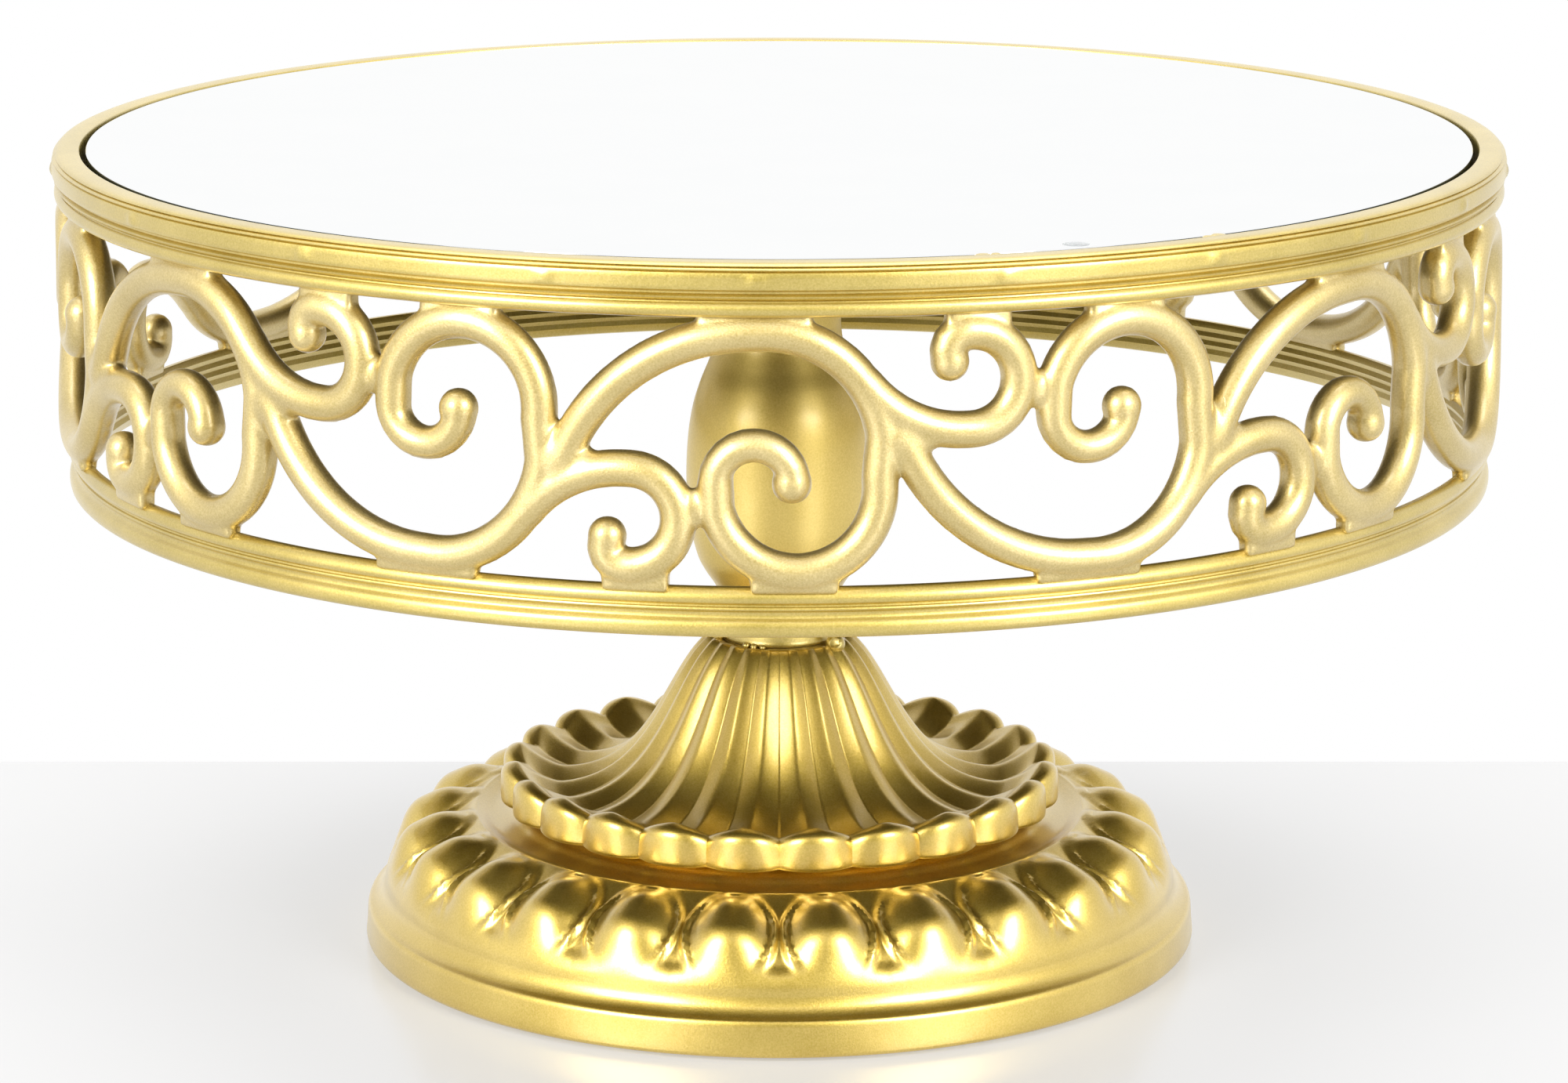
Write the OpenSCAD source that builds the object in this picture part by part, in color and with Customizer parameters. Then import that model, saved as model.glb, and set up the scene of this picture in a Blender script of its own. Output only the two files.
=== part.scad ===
// Cake stand: a mirror-topped tray with a scrollwork gallery on a vase stem and a gadrooned base.
// Millimetres, +Z up, origin on the floor at the centre of the foot.

/* [Tray] */
// Outer radius of the tray rim
tray_r = 152.4; // [140:0.1:170]
// Radial width of the flat lip on the rim
lip_w = 6.3; // [4:0.1:9]
// How far the rim reaches down below its ledge
rim_skirt = 2; // [0.5:0.1:5]
// Height of the plain band below the lip
rim_band_h = 5.2; // [3:0.1:7]
// Radius of the half-round bead under the band
rim_bead_r = 2.1; // [1.2:0.1:2.2]
// How far the rim's ledge reaches in under the pan
ledge_w = 6; // [3:0.5:12]
// Thickness of the ledge
ledge_t = 1.6; // [1:0.1:2.5]
// How far the lower ring stands in from the rim
lower_ring_inset = 2; // [0:0.1:8]
// Height of the lower ring
lower_ring_h = 9.1; // [7:0.1:12]
// Radial width of the lower ring
lower_ring_w = 4.4; // [4:0.1:8]
// Thickness of the pan under the mirror
pan_t = 1; // [0.6:0.1:3]
// Radius of the threaded hub under the pan
hub_r = 20; // [16:0.5:30]
// Thickness of the hub's flange
hub_flange_t = 2; // [1:0.1:4]
// Radius of the hub's boss inside the neck
hub_boss_r = 9; // [7.5:0.1:9.5]
// Length of the hub's boss below its flange
hub_boss_h = 12; // [10:0.5:14]

/* [Mirror] */
// Thickness of the mirror glass
mirror_t = 4; // [2:0.1:8]
// How far the lip stands above the mirror
lip_rise = 1; // [0.2:0.1:3]
// Thickness of the felt pads under the mirror
pad_t = 0.7; // [0.3:0.1:2]
// Radius of one felt pad
pad_r = 9; // [4:0.5:15]
// Number of felt pads
pad_count = 6; // [3:1:12]
// Radius of the circle of felt pads
pad_circle_r = 105; // [40:1:125]
// Radius of the clear dot near the mirror's edge
dot_r = 2.6; // [1:0.1:5]
// Height of the clear dot
dot_h = 0.9; // [0.4:0.1:1.2]
// Where the clear dot stands, in degrees to the right of the front
dot_angle = 23; // [0:1:180]

/* [Frieze] */
// Open height between the two rings
frieze_h = 50.8; // [44:0.1:60]
// Thickness of the scroll rods
rod_d = 5.4; // [4:0.1:6]
// Angle that one panel of the front covers
front_span = 49.15; // [46:0.05:54]
// Where the first panel starts, in degrees to the left of the front
first_panel_angle = 113.7; // [0:0.1:180]

/* [Stem] */
// Height of the collar tube between the dome and the bulb
collar_h = 45.1; // [40:0.1:60]
// Outer radius of the collar tube
collar_r = 13.6; // [11:0.1:14]
// Wall of the collar tube
collar_wall = 2; // [1:0.1:4]
// Height of the bulb
bulb_h = 59; // [50:0.5:80]
// Radius of the bulb at its widest
bulb_r = 19.9; // [16:0.1:28]
// Height of the widest place above the bulb's foot
bulb_belly_h = 24.5; // [18:0.5:32]
// How far the bulb's foot stands in from the collar
bulb_foot_inset = 0.7; // [0:0.1:1.5]
// Radius of the bulb at its top, and of the neck
neck_r = 13.1; // [12.2:0.1:15]
// Wall of the bulb
bulb_wall = 2; // [1.2:0.1:3]
// Height of the neck
neck_h = 30.5; // [28:0.5:40]
// Radius of the neck's flange under the tray
neck_flange_r = 20; // [16:0.5:30]
// Thickness of the neck's flange
neck_flange_t = 3; // [2:0.1:5]
// Height of the shelf in the neck that the top nut clamps
neck_shelf_h = 7; // [4:0.5:8]
// Thickness of the nylon washer under the tray
tray_washer_t = 1; // [0.5:0.1:3]
// Radius of the weld blob on the collar
weld_r = 1.9; // [1:0.1:2.5]
// Where the weld blob sits, in degrees to the right of the front
weld_angle = 61; // [0:1:180]

/* [Base] */
// Radius of the foot
foot_r = 90; // [80:0.5:110]
// Height of the flat band round the foot
foot_band_h = 7.6; // [5:0.1:10]
// Height of the dome up to the seat of the trumpet
dome_h = 30.4; // [26:0.1:40]
// Sheet thickness of the dome
dome_wall = 1.4; // [1:0.1:3]
// Number of eggs round the dome, and of flutes on the trumpet
lobe_count = 24; // [12:1:32]
// How far an egg stands out from the dome
egg_rise = 5; // [1:0.1:6]
// Height of the trumpet from the dome to its mouth
trumpet_h = 33.6; // [28:0.1:40]
// Wall of the trumpet at its mouth
mouth_wall = 2.7; // [2:0.1:5]
// Wall of the trumpet behind its flutes
trumpet_wall = 1.2; // [0.8:0.1:3]
// Depth of a flute in the trumpet
flute_depth = 1.3; // [0.3:0.1:1.6]
// Radius of the dish's lip at the tip of a scallop
lip_r = 57; // [50:0.5:64]
// Height of the scallop tips above the dome
lip_h = 9.1; // [7:0.1:14]
// How far a scallop's tip rises above the notches beside it
scallop_rise = 2.6; // [0.5:0.1:4]
// Radius of the plate under the dome's top
bridge_r = 28; // [20:0.5:36]
// Thickness of that plate
bridge_t = 2; // [1:0.1:4]

/* [Fasteners] */
// Diameter of the tie rod
rod_thread_d = 10; // [6:0.5:10]
// Width of the nuts across their flats
nut_af = 17; // [14:0.5:17]
// Height of the nuts
nut_h = 8; // [5:0.5:8.5]
// Thickness of the washers under the base
washer_t = 1.6; // [1:0.1:3]
// Radius of the plain washer under the base
washer_r = 13; // [10:0.5:18]
// How far the tie rod sticks out below the bottom nut
rod_tail = 3; // [1:0.5:6]
// How far below the pan the tie rod ends
rod_head_gap = 1; // [0.5:0.1:3]

/* [Fits] */
// Gap round the mirror in its recess
mirror_gap = 1.2; // [0.4:0.1:2]
// Gap round the pan in its recess
pan_gap = 0.4; // [0.1:0.1:1]
// Radial clearance of a thread in the hub
thread_gap = 0.05; // [0.02:0.01:0.1]
// Radial clearance of the tie rod in plain holes
hole_gap = 0.5; // [0.2:0.1:1]
// Gap round the top nut and the hub's boss in the neck
neck_gap = 0.5; // [0.3:0.1:1]
// Gap between the collar and the trumpet's mouth
mouth_gap = 1; // [0.5:0.1:1.4]

/* [Hidden] */
$fn = 96;

gold = [0.86, 0.72, 0.34];
pale_gold = [0.92, 0.82, 0.5];
steel = [0.72, 0.73, 0.75];

// Levels of the stack from the floor to the lip
collar_z = dome_h;
bulb_z = collar_z + collar_h;
neck_z = bulb_z + bulb_h;
tray_washer_z = neck_z + neck_h;
hub_z = tray_washer_z + tray_washer_t;
pan_z = hub_z + hub_flange_t;
pad_z = pan_z + pan_t;
mirror_z = pad_z + pad_t;
mirror_top = mirror_z + mirror_t;
rim_top = mirror_top + lip_rise;
frieze_top = pan_z - ledge_t - rim_skirt;
frieze_z = frieze_top - frieze_h;
frieze_mid = frieze_z + frieze_h / 2;
lower_ring_z = frieze_z - lower_ring_h;
mouth_z = dome_h + trumpet_h;
lip_z = dome_h + lip_h;

lower_ring_r = tray_r - lower_ring_inset;
recess_r = tray_r - lip_w;
rod_r = rod_d / 2;
thread_r = rod_thread_d / 2;
nut_corner_r = nut_af / sqrt(3);
lock_washer_z = dome_h - dome_wall - bridge_t - washer_t;
bottom_nut_z = lock_washer_z - washer_t - nut_h;
rod_z = bottom_nut_z - rod_tail;
rod_top = pan_z - rod_head_gap;

// Point on a cubic curve through four control points
function bezier(p, t) =
    pow(1 - t, 3) * p[0] + 3 * t * pow(1 - t, 2) * p[1] + 3 * t * t * (1 - t) * p[2] + pow(t, 3) * p[3];
function curve(p, steps) = [for (i = [0 : steps]) bezier(p, i / steps)];
function tail(list) = [for (i = [1 : len(list) - 1]) list[i]];

module ring(inner, outer, height) {
    rotate_extrude() translate([inner, 0]) square([outer - inner, height]);
}

// Overshoot of cutting shapes
cut = 1;

module hex_nut(z) {
    translate([0, 0, z]) difference() {
        cylinder(r = nut_corner_r, h = nut_h, $fn = 6);
        translate([0, 0, -cut]) cylinder(r = thread_r + thread_gap, h = nut_h + 2 * cut);
    }
}

// Tray

ring_sides = 180;
edge_round = 0.6;
groove_depth = 1;

module tray_rim() {
    wall_r = tray_r - groove_depth;
    band_z = rim_top - rim_band_h;
    color(gold) rotate_extrude($fn = ring_sides) {
        translate([recess_r, frieze_top]) square([wall_r - recess_r, rim_top - frieze_top]);
        translate([recess_r, band_z]) square([lip_w, rim_band_h - edge_round]);
        translate([recess_r, band_z]) square([lip_w - edge_round, rim_band_h]);
        translate([tray_r - edge_round, rim_top - edge_round]) circle(r = edge_round);
        translate([tray_r - rim_bead_r, frieze_top + rim_bead_r]) circle(r = rim_bead_r);
        translate([recess_r - ledge_w, pan_z - ledge_t]) square([ledge_w + groove_depth, ledge_t]);
    }
}

// The lower ring's face is two beads with a fine bead between them
bead_gap = 0.35;
fine_share = 0.45;

module lower_ring() {
    bead_r = (lower_ring_h - 2 * bead_gap) / (4 + 2 * fine_share);
    fine_r = bead_r * fine_share;
    bead_x = lower_ring_r - bead_r;
    inner = lower_ring_r - lower_ring_w;
    color(gold) translate([0, 0, lower_ring_z]) rotate_extrude($fn = ring_sides) {
        translate([inner, bead_r]) square([bead_x - inner, lower_ring_h - bead_r]);
        translate([inner + bead_r, bead_r]) circle(r = bead_r);
        translate([inner + bead_r, 0]) square([bead_x - inner - bead_r, bead_r]);
        translate([bead_x, bead_r]) circle(r = bead_r);
        translate([bead_x, 2 * bead_r + bead_gap + fine_r]) circle(r = fine_r);
        translate([bead_x, lower_ring_h - bead_r]) circle(r = bead_r);
    }
}

module tray_pan() {
    color(pale_gold) translate([0, 0, pan_z]) ring(thread_r + hole_gap, recess_r - pan_gap, pan_t);
}

module tray_hub() {
    color(steel) rotate_extrude() {
        translate([thread_r + thread_gap, hub_z]) square([hub_r - thread_r - thread_gap, hub_flange_t]);
        translate([thread_r + thread_gap, hub_z - hub_boss_h])
            square([hub_boss_r - thread_r - thread_gap, hub_boss_h + hub_flange_t]);
    }
}

module mirror_pads() {
    color("dimgray") for (i = [0 : pad_count - 1]) rotate(360 * i / pad_count)
        translate([pad_circle_r, 0, pad_z]) cylinder(r = pad_r, h = pad_t);
}

module mirror_plate() {
    color("aliceblue") translate([0, 0, mirror_z])
        cylinder(r = recess_r - mirror_gap, h = mirror_t, $fn = ring_sides);
}

dot_inset = 0.4;

module clear_bumper() {
    cap_r = (dot_r * dot_r + dot_h * dot_h) / (2 * dot_h);
    seat_r = recess_r - mirror_gap - dot_r - dot_inset;
    color("white") rotate(dot_angle) translate([0, -seat_r, mirror_top]) intersection() {
        translate([0, 0, dot_h - cap_r]) sphere(r = cap_r);
        cylinder(r = dot_r + cut, h = dot_h + cut);
    }
}

// Scrollwork

// Radius at which the rods run: the gallery narrows a little from the rim to the lower ring,
// where the rods stand a little proud
rod_proud = 1.2;
rod_top_r = tray_r - rod_r;
rod_low_r = lower_ring_r - rod_r + rod_proud;
function rod_line_r(z) = rod_low_r + (rod_top_r - rod_low_r) * (z - frieze_z) / frieze_h;

// Arc in the flat pattern, from angle a to angle b, in chords that stay close to it
chord_error = 0.5;
function arc(x, y, r, a, b) =
    let (n = max(2, ceil(abs(b - a) * PI / 180 * r / sqrt(8 * r * chord_error))))
    [for (i = [0 : n]) let (t = a + (b - a) * i / n) [x + r * cos(t), y + r * sin(t)]];

// Strokes of one half repeat, on a drawing with these two corners that is stretched to fill a panel
drawing = [[-40.5, -25.4], [88.6, 25.4]];
drawing_size = drawing[1] - drawing[0];
big_stroke = concat(
    arc(-5, -16.6, 38.9, 157, 90),
    tail(arc(-2.6, 0, 22.4, 90, 8)),
    tail(arc(3.4, -6.9, 15.6, 8, -165)),
    tail(arc(-4.6, -6.1, 7.4, 170, 25))
);
small_stroke = concat(
    arc(-29.5, -22, 18.5, 165, 90),
    tail(arc(-28, -12.7, 9.2, 90, -90)),
    tail(arc(-29, -18.1, 3.9, -100, -205))
);
big_ball = [2.2, -5.6];
small_ball = [-32.4, -16.6];
small_ball_r = 3;
big_ball_r = 3.2;
junction_web = [[-47, -9], [-44.5, 1.6], [-35.6, -3.6]];
touch_web = [[-18, -10.5], [-13, -10.5]];
top_pad = [-15, 6];
bottom_pads = [[-5, 11], [-33, -21]];
pad_depth = 3.4;
pad_reach = 3.6;

// Four panels across the front have the front's span, and three share what is left behind
front_panels = 4;
back_panels = 3;
back_span = (360 - front_panels * front_span) / back_panels;
function panel_span(i) = i <= front_panels ? front_span : back_span;
function panel_start(i) =
    i <= 1 ? -first_panel_angle : panel_start(i - 1) + panel_span(i - 1);

// Place in space of a point of the drawing; the panel starts at the middle of a junction
function bend(p, span) =
    let (
        share = p - drawing[0],
        z = frieze_z + share[1] / drawing_size[1] * frieze_h,
        a = share[0] / drawing_size[0] * span - 90,
        r = rod_line_r(z)
    )
    [r * cos(a), r * sin(a), z];

rod_sides = 6;

module rod(points, span) {
    path = [for (p = points) bend(p, span)];
    n = len(path);
    rings = [for (i = [0 : n - 1]) let (
        ahead = path[min(i + 1, n - 1)] - path[max(i - 1, 0)],
        along = ahead / norm(ahead),
        outward = [path[i][0], path[i][1], 0] / norm([path[i][0], path[i][1], 0]),
        side = cross(along, outward) / norm(cross(along, outward)),
        face = cross(side, along)
    ) for (k = [0 : rod_sides - 1]) let (t = 360 * (k + 0.5) / rod_sides)
        path[i] + rod_r * (side * cos(t) + face * sin(t))];
    skin = [for (i = [0 : n - 2], k = [0 : rod_sides - 1]) let (
        a = i * rod_sides + k,
        b = i * rod_sides + (k + 1) % rod_sides
    ) each [[a, b, a + rod_sides], [b, b + rod_sides, a + rod_sides]]];
    ends = [
        [for (k = [rod_sides - 1 : -1 : 0]) k],
        [for (k = [0 : rod_sides - 1]) (n - 1) * rod_sides + k]
    ];
    polyhedron(rings, concat(skin, ends));
}

module ball(p, r, span) {
    translate(bend(p, span)) sphere(r = r, $fn = 8);
}

// Filled corner between the rods, as a cast junction has
module web(corners, span) {
    hull() for (p = corners) translate(bend(p, span)) sphere(r = pad_depth / 2, $fn = 6);
}

// Seat between a rod's crown and the ring above it
slice = 0.6;

module seat_pad(from, to, span) {
    steps = 2;
    for (i = [0 : steps - 1]) hull() for (j = [i, i + 1]) {
        seat = bend([from + (to - from) * j / steps, drawing[1][1]], span);
        rotate(atan2(seat[1], seat[0]))
            translate([norm([seat[0], seat[1]]) - pad_depth / 2, -slice / 2, frieze_top - pad_reach])
            cube([pad_depth, slice, pad_reach + cut]);
    }
}

module half_repeat(span) {
    rod(big_stroke, span);
    rod(small_stroke, span);
    ball(big_ball, big_ball_r, span);
    ball(small_ball, small_ball_r, span);
    web(junction_web, span);
    web(touch_web, span);
    seat_pad(top_pad[0], top_pad[1], span);
    for (p = bottom_pads) flip() seat_pad(p[0], p[1], span);
}

// Mirror image about the middle of the frieze
module flip() {
    translate([0, 0, 2 * frieze_mid]) mirror([0, 0, 1]) children();
}

// Wedge of the gallery that one panel fills, from ring to ring
module panel_room(span) {
    far = 1.2 * tray_r;
    steps = 8;
    translate([0, 0, frieze_z]) linear_extrude(frieze_h) polygon(concat([[0, 0]],
        [for (i = [0 : steps]) far * [cos(i * span / steps - 90), sin(i * span / steps - 90)]]));
}

module scroll_panel(i) {
    span = panel_span(i);
    color(gold) rotate(panel_start(i)) intersection() {
        union() for (k = [0 : 2]) rotate(k * span / 2) {
            if (k % 2 == 0) half_repeat(span);
            else flip() half_repeat(span);
        }
        panel_room(span);
    }
}

// Stem

module tray_washer() {
    color("ivory") translate([0, 0, tray_washer_z])
        ring(hub_boss_r + hole_gap, neck_flange_r, tray_washer_t);
}

module stem_neck() {
    bore_r = max(hub_boss_r, nut_corner_r) + neck_gap;
    hole_r = thread_r + hole_gap;
    flare_h = neck_h - neck_flange_t;
    flare_line = [[neck_r, 0], [neck_r, flare_h * 0.6], [neck_r, flare_h * 0.8], [neck_flange_r, flare_h]];
    flare = curve(flare_line, 10);
    color(gold) translate([0, 0, neck_z]) rotate_extrude() difference() {
        polygon(concat([[hole_r, 0]], flare, [[neck_flange_r, neck_h], [hole_r, neck_h]]));
        translate([0, neck_shelf_h]) square([bore_r, neck_h]);
    }
}

bulb_foot_r = collar_r - bulb_foot_inset;
bulb_rise = bulb_h - bulb_belly_h;
bulb_swell = bulb_r - bulb_foot_r;
bulb_low = [
    [bulb_foot_r, 0],
    [bulb_foot_r + bulb_swell * 0.27, bulb_belly_h * 0.04],
    [bulb_r, bulb_belly_h * 0.5],
    [bulb_r, bulb_belly_h]
];
bulb_high = [
    [bulb_r, bulb_belly_h],
    [bulb_r, bulb_belly_h + bulb_rise * 0.54],
    [neck_r + (bulb_r - neck_r) * 0.22, bulb_belly_h + bulb_rise * 0.71],
    [neck_r, bulb_h]
];

module stem_bulb() {
    outside = concat(curve(bulb_low, 8), tail(curve(bulb_high, 12)));
    hole_r = thread_r + hole_gap;
    floor_z = bulb_wall;
    roof_z = bulb_h - bulb_wall;
    inside = [for (p = outside) if (p[1] > floor_z + cut && p[1] < roof_z - cut) p - [bulb_wall, 0]];
    color(pale_gold) translate([0, 0, bulb_z]) rotate_extrude() difference() {
        polygon(concat([[hole_r, 0]], outside, [[hole_r, bulb_h]]));
        polygon(concat([[hole_r - cut, floor_z], [bulb_foot_r - bulb_wall, floor_z]], inside,
            [[neck_r - bulb_wall, roof_z], [hole_r - cut, roof_z]]));
    }
}

module stem_collar() {
    color(gold) translate([0, 0, collar_z]) ring(collar_r - collar_wall, collar_r, collar_h);
}

module tack_weld() {
    color(pale_gold) rotate(weld_angle) difference() {
        translate([0, -collar_r - weld_r * 0.7, mouth_z + weld_r * 0.6]) sphere(r = weld_r, $fn = 24);
        translate([0, 0, mouth_z]) cylinder(r = collar_r, h = 3 * weld_r);
        translate([0, -collar_r, mouth_z - 2 * weld_r]) cylinder(r = 3 * weld_r, h = 2 * weld_r);
    }
}

module tie_rod() {
    color(steel) translate([0, 0, rod_z]) cylinder(r = thread_r, h = rod_top - rod_z);
}

module top_nut() {
    color(steel) hex_nut(neck_z + neck_shelf_h);
}

// Base

lobe_steps = 4;

// Closed shell of revolution whose rows run along one profile where two lobes meet and along another
// through the middle of a lobe. Each row is [meeting point, middle point] as [r, z].
module lobed_shell(rows) {
    sides = lobe_count * lobe_steps;
    n = len(rows);
    points = [for (row = rows, k = [0 : sides - 1]) let (
        u = (k % lobe_steps) / lobe_steps * 2 - 1,
        p = row[0] + (row[1] - row[0]) * cos(u * 90),
        a = 360 * k / sides - 90
    ) [p[0] * cos(a), p[0] * sin(a), p[1]]];
    faces = [for (i = [0 : n - 1], k = [0 : sides - 1]) let (
        a = i * sides + k,
        b = i * sides + (k + 1) % sides,
        c = ((i + 1) % n) * sides + k,
        d = ((i + 1) % n) * sides + (k + 1) % sides
    ) each [[a, c, b], [b, c, d]]];
    polyhedron(points, faces);
}

function plain(points) = [for (p = points) [p, p]];

// Control points of the line that the crest of a flute follows from the mouth down into the dish
bore_r = collar_r + mouth_gap;
mouth_r = bore_r + mouth_wall;
flare_pull = [5.1, -9.5];
sweep_pull = [-16.5, 1.2];
dish_low = [lip_r - 10, dome_h + 4.4];
flute_line = [[mouth_r, mouth_z], [mouth_r, mouth_z] + flare_pull, dish_low + sweep_pull, dish_low];

// Flat ring of the dish on the dome, and the shadow gap under its rim
seat_in = 17;
seat_out = 6;
rim_gap = 1.1;
rim_wall_z = dome_h + rim_gap;
notch = [lip_r - 2.2, lip_z - scallop_rise];
tip = [lip_r, lip_z];

module base_trumpet() {
    steps = 8;
    crest = curve(flute_line, steps);
    outside = [for (i = [0 : steps]) let (t = i / steps, deep = flute_depth * min(1, 0.55 + t))
        [crest[i] - deep * [1 - t, t], crest[i]]];
    // Rows over the lip, each at a notch and at a tip
    scallops = [
        [dish_low + [3.5, -0.6], dish_low + [3.5, 0.3]],
        [notch + [-1.8, -1], tip + [-3, -3]],
        [notch, tip],
        [notch + [1.4, -0.7], tip + [2, -0.9]],
        [[lip_r + 0.3, rim_wall_z + 2.5], [lip_r + 3.6, rim_wall_z + 4]],
        [[lip_r + 1.5, rim_wall_z], [lip_r + 3.5, rim_wall_z]]
    ];
    hollow = [for (i = [6, 4, 2]) let (t = i / steps)
        crest[i] - (flute_depth + trumpet_wall) * [1 - t, t] / norm([1 - t, t])];
    underside = plain(concat(
        [[lip_r + 0.2, rim_wall_z], [lip_r - 2.4, rim_wall_z + 1.2]],
        [[lip_r - seat_out, dome_h], [lip_r - seat_in, dome_h]],
        hollow,
        [[bore_r, mouth_z]]
    ));
    color(gold) lobed_shell(concat(outside, scallops, underside));
}

// Control points of the line that a dart between two eggs follows, from the cove to the dome's top
cove = [foot_r - 3, foot_band_h + 2.6];
flat_r = lip_r - seat_out + 2;
dart_low = cove + [-1.3, 1];
dart_low_pull = [-6, 14];
dart_high = [flat_r + (foot_r - flat_r) * 0.22, dome_h - 0.3];
dart_high_pull = [13.3, -8];
dart_line = [dart_low, dart_low + dart_low_pull, dart_high + dart_high_pull, dart_high];
function lean(t) = [cos(20 + 51 * t), sin(20 + 51 * t)];

module base_dome() {
    steps = 9;
    darts = curve(dart_line, steps);
    eggs = [for (i = [0 : steps]) let (t = i / steps, swell = pow(sin(180 * pow(t, 1.4)), 0.64))
        [darts[i], darts[i] + egg_rise * swell * lean(t)]];
    foot = plain([
        [foot_r - dome_wall, 0], [foot_r, 0], [foot_r, foot_band_h - edge_round],
        [foot_r - edge_round, foot_band_h + edge_round], [foot_r - 2, foot_band_h + 1.3], cove
    ]);
    hole_r = thread_r + hole_gap;
    top = [[flat_r, dome_h], [hole_r, dome_h], [hole_r, dome_h - dome_wall], [flat_r, dome_h - dome_wall]];
    hollow = [for (i = [9, 6, 3, 0]) darts[i] - dome_wall * lean(i / steps)];
    inside = plain(concat(top, hollow, [[foot_r - dome_wall, foot_band_h - dome_wall]]));
    color(gold) lobed_shell(concat(foot, eggs, inside));
}

module base_bridge() {
    color(steel) translate([0, 0, dome_h - dome_wall - bridge_t])
        ring(thread_r + hole_gap, bridge_r, bridge_t);
}

module bottom_washer() {
    color(steel) translate([0, 0, lock_washer_z]) ring(thread_r + hole_gap, washer_r, washer_t);
}

module lock_washer() {
    slit = 1.2;
    color(steel) translate([0, 0, lock_washer_z - washer_t]) difference() {
        ring(thread_r + hole_gap, nut_af / 2, washer_t);
        translate([0, -slit / 2, -cut]) cube([nut_af, slit, washer_t + 2 * cut]);
    }
}

module bottom_nut() {
    color(steel) hex_nut(bottom_nut_z);
}

tray_rim();
lower_ring();
scroll_panel(1);  // scroll_panel_1
scroll_panel(2);  // scroll_panel_2
scroll_panel(3);  // scroll_panel_3
scroll_panel(4);  // scroll_panel_4
scroll_panel(5);  // scroll_panel_5
scroll_panel(6);  // scroll_panel_6
scroll_panel(7);  // scroll_panel_7
tray_pan();
tray_hub();
mirror_pads();
mirror_plate();
clear_bumper();
tray_washer();
stem_neck();
stem_bulb();
stem_collar();
tack_weld();
tie_rod();
top_nut();
base_trumpet();
base_dome();
base_bridge();
bottom_washer();
lock_washer();
bottom_nut();
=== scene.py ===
import math
import bpy
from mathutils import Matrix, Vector


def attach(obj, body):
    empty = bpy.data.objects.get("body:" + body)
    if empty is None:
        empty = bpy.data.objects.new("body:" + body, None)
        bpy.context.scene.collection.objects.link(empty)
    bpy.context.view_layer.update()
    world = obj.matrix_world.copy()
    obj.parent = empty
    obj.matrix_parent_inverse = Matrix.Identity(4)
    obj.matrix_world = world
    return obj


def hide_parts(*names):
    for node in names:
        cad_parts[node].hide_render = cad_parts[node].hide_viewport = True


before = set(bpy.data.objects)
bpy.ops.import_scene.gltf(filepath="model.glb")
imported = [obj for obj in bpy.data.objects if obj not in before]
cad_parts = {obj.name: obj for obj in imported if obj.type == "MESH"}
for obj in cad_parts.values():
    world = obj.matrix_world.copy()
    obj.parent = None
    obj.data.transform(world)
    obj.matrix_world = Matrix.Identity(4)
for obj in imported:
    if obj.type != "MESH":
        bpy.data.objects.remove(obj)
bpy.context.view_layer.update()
mm = 0.001
fullTurn = 2 * math.pi


def setMode(mode):
    if bpy.context.object and bpy.context.object.mode != mode:
        bpy.ops.object.mode_set(mode=mode)


def pickOnly(*pieces):
    setMode("OBJECT")
    bpy.ops.object.select_all(action="DESELECT")
    for piece in pieces:
        piece.select_set(True)
        bpy.context.view_layer.objects.active = piece


def beginPiece(name):  # takes the primitive just added into edit mode, with all of it selected
    piece = bpy.context.object
    piece.name = name
    piece.data.name = name
    bpy.ops.object.transform_apply(location=True, rotation=True, scale=True)
    setMode("EDIT")
    bpy.ops.mesh.select_mode(type="VERT")
    bpy.ops.mesh.select_all(action="SELECT")
    return piece


def closeUp(piece, angle=40):  # merges seams, turns normals outward and smooths
    setMode("EDIT")
    bpy.ops.mesh.select_all(action="SELECT")
    bpy.ops.mesh.remove_doubles(threshold=0.01 * mm)
    bpy.ops.mesh.normals_make_consistent(inside=False)
    pickOnly(piece)
    bpy.ops.object.shade_smooth_by_angle(angle=math.radians(angle))


def applyModifier(piece, kind, **values):
    pickOnly(piece)
    modifier = piece.modifiers.new(kind.title(), kind)
    for key, value in values.items():
        setattr(modifier, key, value)
    bpy.ops.object.modifier_apply(modifier=modifier.name)


def copyPiece(piece, name):
    pickOnly(piece)
    bpy.ops.object.duplicate()
    copied = bpy.context.object
    copied.name = name
    copied.data.name = name
    return copied


def turnPiece(piece, degrees):
    pickOnly(piece)
    piece.rotation_euler = (0, 0, math.radians(degrees))
    bpy.ops.object.transform_apply(location=True, rotation=True, scale=True)


def place(piece, body, *nodes, slot):
    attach(piece, body)
    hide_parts(*nodes)


def around(radius, degrees, height):  # point at an angle from the front, right side positive
    a = math.radians(degrees)
    return Vector((radius * math.sin(a), -radius * math.cos(a), height)) * mm


def arcPoints(x, z, radius, start, end, steps):
    angles = [math.radians(start + (end - start) * k / steps) for k in range(steps + 1)]
    return [(x + radius * math.cos(a), z + radius * math.sin(a)) for a in angles]


def smoothThrough(points, steps):
    line = []
    for i in range(len(points) - 1):
        four = [points[max(i - 1, 0)], points[i], points[i + 1], points[min(i + 2, len(points) - 1)]]
        for k in range(steps):
            t = k / steps
            line.append(tuple(
                0.5 * (2 * b + (c - a) * t + (2 * a - 5 * b + 4 * c - d) * t ** 2
                       + (3 * b - a - 3 * c + d) * t ** 3) for a, b, c, d in zip(*four)))
    return line + [tuple(points[-1])]


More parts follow.
